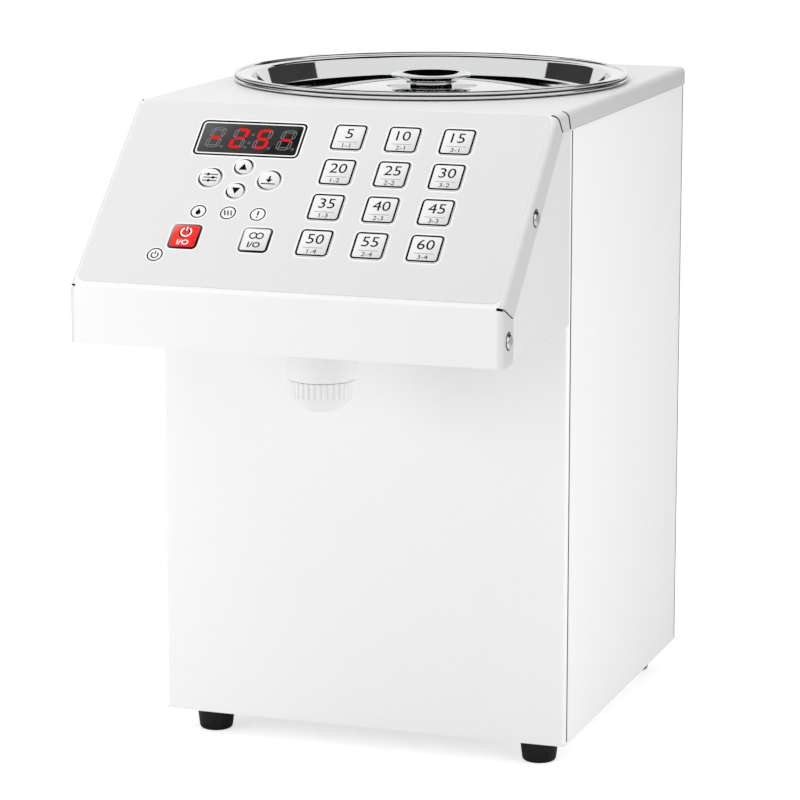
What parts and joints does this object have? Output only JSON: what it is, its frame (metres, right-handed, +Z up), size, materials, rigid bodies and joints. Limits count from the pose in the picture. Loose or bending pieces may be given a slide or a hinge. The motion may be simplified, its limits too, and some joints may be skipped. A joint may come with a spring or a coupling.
{
  "type": "fructose dispenser",
  "caption": "Countertop syrup dispenser: steel case on rubber feet, lift-off tank lid, sloping keypad over a nozzle, gear pump inside.",
  "frame": {"origin": "on the table under the middle of the overall box", "axes": "+Z up, -Y towards the user (keypad and nozzle side), +X to the user's right"},
  "size_m": [0.274, 0.4155, 0.4219],
  "materials": {
    "white_powder_coat": "gloss",
    "galvanised_steel": "satin",
    "stainless_fasteners": "satin",
    "polished_stainless": "mirror",
    "foot_rubber": "matte",
    "overlay_film": "satin",
    "white_keys": "satin",
    "red_key": "gloss",
    "grey_key": "satin",
    "smoked_window": "gloss",
    "display_plastic": "matte",
    "circuit_board": "satin",
    "lens_plastic": "satin",
    "led_red": "gloss",
    "silicone": "matte",
    "heater_mica": "satin",
    "foam": "matte",
    "phenolic": "matte",
    "hose": "gloss",
    "pump_metal": "satin",
    "gear_steel": "satin",
    "motor_paint": "satin",
    "white_moulding": "satin",
    "black_moulding": "satin"
  },
  "bodies": {
    "case": {"base_pan": "galvanised_steel", "front_panel": "white_powder_coat", "left_side_panel": "white_powder_coat", "right_side_panel": "white_powder_coat", "rear_panel": "white_powder_coat", "top_cover": "white_powder_coat", "console_tray": "white_powder_coat", "cover_screws": "stainless_fasteners", "rear_screws": "stainless_fasteners", "feet": "foot_rubber", "foot_screws": "stainless_fasteners", "panel_overlay": "overlay_film", "display_window": "smoked_window", "display_module": "display_plastic", "keypad_board": "circuit_board", "keypad_switches": "display_plastic", "board_standoffs": "stainless_fasteners", "indicator_lenses": "lens_plastic", "indicator_leds": "led_red", "tank": "polished_stainless", "tank_gasket": "silicone", "tank_outlet": "polished_stainless", "heater_band": "heater_mica", "insulation_sleeve": "foam", "thermostat": "phenolic", "suction_hose": "hose", "pump_housing": "pump_metal", "pump_cover": "pump_metal", "pump_motor": "motor_paint", "pump_bracket": "galvanised_steel", "delivery_hose": "hose", "nozzle_body": "white_moulding", "power_supply": "galvanised_steel", "control_board": "circuit_board", "power_inlet": "black_moulding"},
    "key_5": {"key_5": "white_keys"},
    "key_10": {"key_10": "white_keys"},
    "key_15": {"key_15": "white_keys"},
    "key_20": {"key_20": "white_keys"},
    "key_25": {"key_25": "white_keys"},
    "key_30": {"key_30": "white_keys"},
    "key_35": {"key_35": "white_keys"},
    "key_40": {"key_40": "white_keys"},
    "key_45": {"key_45": "white_keys"},
    "key_50": {"key_50": "white_keys"},
    "key_55": {"key_55": "white_keys"},
    "key_60": {"key_60": "white_keys"},
    "key_set": {"key_set": "white_keys"},
    "key_save": {"key_save": "white_keys"},
    "key_up": {"key_up": "white_keys"},
    "key_down": {"key_down": "white_keys"},
    "key_power": {"key_power": "red_key"},
    "key_continuous": {"key_continuous": "grey_key"},
    "lid": {"lid": "polished_stainless", "lid_knob": "polished_stainless"},
    "nozzle_collar": {"nozzle_collar": "white_moulding", "nozzle_valve": "silicone"},
    "rocker_switch": {"rocker_switch": "black_moulding"},
    "drive_gear": {"drive_gear": "gear_steel"},
    "driven_gear": {"driven_gear": "gear_steel"}
  },
  "joints": [
    {"name": "key_5_press", "type": "slide", "parent": "case", "child": "key_5", "axis": [0, 0.6761, -0.7368], "range_m": [0, 0.0003], "stiffness_N_per_m": 400, "springref_m": -0.0004},
    {"name": "key_10_press", "type": "slide", "parent": "case", "child": "key_10", "axis": [0, 0.6761, -0.7368], "range_m": [0, 0.0003], "stiffness_N_per_m": 400, "springref_m": -0.0004},
    {"name": "key_15_press", "type": "slide", "parent": "case", "child": "key_15", "axis": [0, 0.6761, -0.7368], "range_m": [0, 0.0003], "stiffness_N_per_m": 400, "springref_m": -0.0004},
    {"name": "key_20_press", "type": "slide", "parent": "case", "child": "key_20", "axis": [0, 0.6761, -0.7368], "range_m": [0, 0.0003], "stiffness_N_per_m": 400, "springref_m": -0.0004},
    {"name": "key_25_press", "type": "slide", "parent": "case", "child": "key_25", "axis": [0, 0.6761, -0.7368], "range_m": [0, 0.0003], "stiffness_N_per_m": 400, "springref_m": -0.0004},
    {"name": "key_30_press", "type": "slide", "parent": "case", "child": "key_30", "axis": [0, 0.6761, -0.7368], "range_m": [0, 0.0003], "stiffness_N_per_m": 400, "springref_m": -0.0004},
    {"name": "key_35_press", "type": "slide", "parent": "case", "child": "key_35", "axis": [0, 0.6761, -0.7368], "range_m": [0, 0.0003], "stiffness_N_per_m": 400, "springref_m": -0.0004},
    {"name": "key_40_press", "type": "slide", "parent": "case", "child": "key_40", "axis": [0, 0.6761, -0.7368], "range_m": [0, 0.0003], "stiffness_N_per_m": 400, "springref_m": -0.0004},
    {"name": "key_45_press", "type": "slide", "parent": "case", "child": "key_45", "axis": [0, 0.6761, -0.7368], "range_m": [0, 0.0003], "stiffness_N_per_m": 400, "springref_m": -0.0004},
    {"name": "key_50_press", "type": "slide", "parent": "case", "child": "key_50", "axis": [0, 0.6761, -0.7368], "range_m": [0, 0.0003], "stiffness_N_per_m": 400, "springref_m": -0.0004},
    {"name": "key_55_press", "type": "slide", "parent": "case", "child": "key_55", "axis": [0, 0.6761, -0.7368], "range_m": [0, 0.0003], "stiffness_N_per_m": 400, "springref_m": -0.0004},
    {"name": "key_60_press", "type": "slide", "parent": "case", "child": "key_60", "axis": [0, 0.6761, -0.7368], "range_m": [0, 0.0003], "stiffness_N_per_m": 400, "springref_m": -0.0004},
    {"name": "key_set_press", "type": "slide", "parent": "case", "child": "key_set", "axis": [0, 0.6761, -0.7368], "range_m": [0, 0.0003], "stiffness_N_per_m": 400, "springref_m": -0.0004},
    {"name": "key_save_press", "type": "slide", "parent": "case", "child": "key_save", "axis": [0, 0.6761, -0.7368], "range_m": [0, 0.0003], "stiffness_N_per_m": 400, "springref_m": -0.0004},
    {"name": "key_up_press", "type": "slide", "parent": "case", "child": "key_up", "axis": [0, 0.6761, -0.7368], "range_m": [0, 0.0003], "stiffness_N_per_m": 400, "springref_m": -0.0004},
    {"name": "key_down_press", "type": "slide", "parent": "case", "child": "key_down", "axis": [0, 0.6761, -0.7368], "range_m": [0, 0.0003], "stiffness_N_per_m": 400, "springref_m": -0.0004},
    {"name": "key_power_press", "type": "slide", "parent": "case", "child": "key_power", "axis": [0, 0.6761, -0.7368], "range_m": [0, 0.0003], "stiffness_N_per_m": 400, "springref_m": -0.0004},
    {"name": "key_continuous_press", "type": "slide", "parent": "case", "child": "key_continuous", "axis": [0, 0.6761, -0.7368], "range_m": [0, 0.0003], "stiffness_N_per_m": 400, "springref_m": -0.0004},
    {"name": "lid_lift", "type": "slide", "parent": "case", "child": "lid", "axis": [0, 0, 1], "range_m": [0, 0.15]},
    {"name": "collar_off", "type": "slide", "parent": "case", "child": "nozzle_collar", "axis": [0, 0, -1], "range_m": [0, 0.02]},
    {"name": "rocker_tip", "type": "hinge", "parent": "case", "child": "rocker_switch", "pos_m": [0.08, 0.20225, 0.0935], "axis": [1, 0, 0], "range_deg": [0, 16]},
    {"name": "drive_spin", "type": "hinge", "parent": "case", "child": "drive_gear", "pos_m": [0.012, 0.06725, 0.107], "axis": [0, 1, 0], "continuous": true},
    {"name": "driven_spin", "type": "hinge", "parent": "case", "child": "driven_gear", "pos_m": [-0.012, 0.06725, 0.107], "axis": [0, 1, 0], "continuous": true}
  ],
  "couplings": [
    {"joint": "driven_spin", "follows": "drive_spin", "ratio": -1}
  ]
}
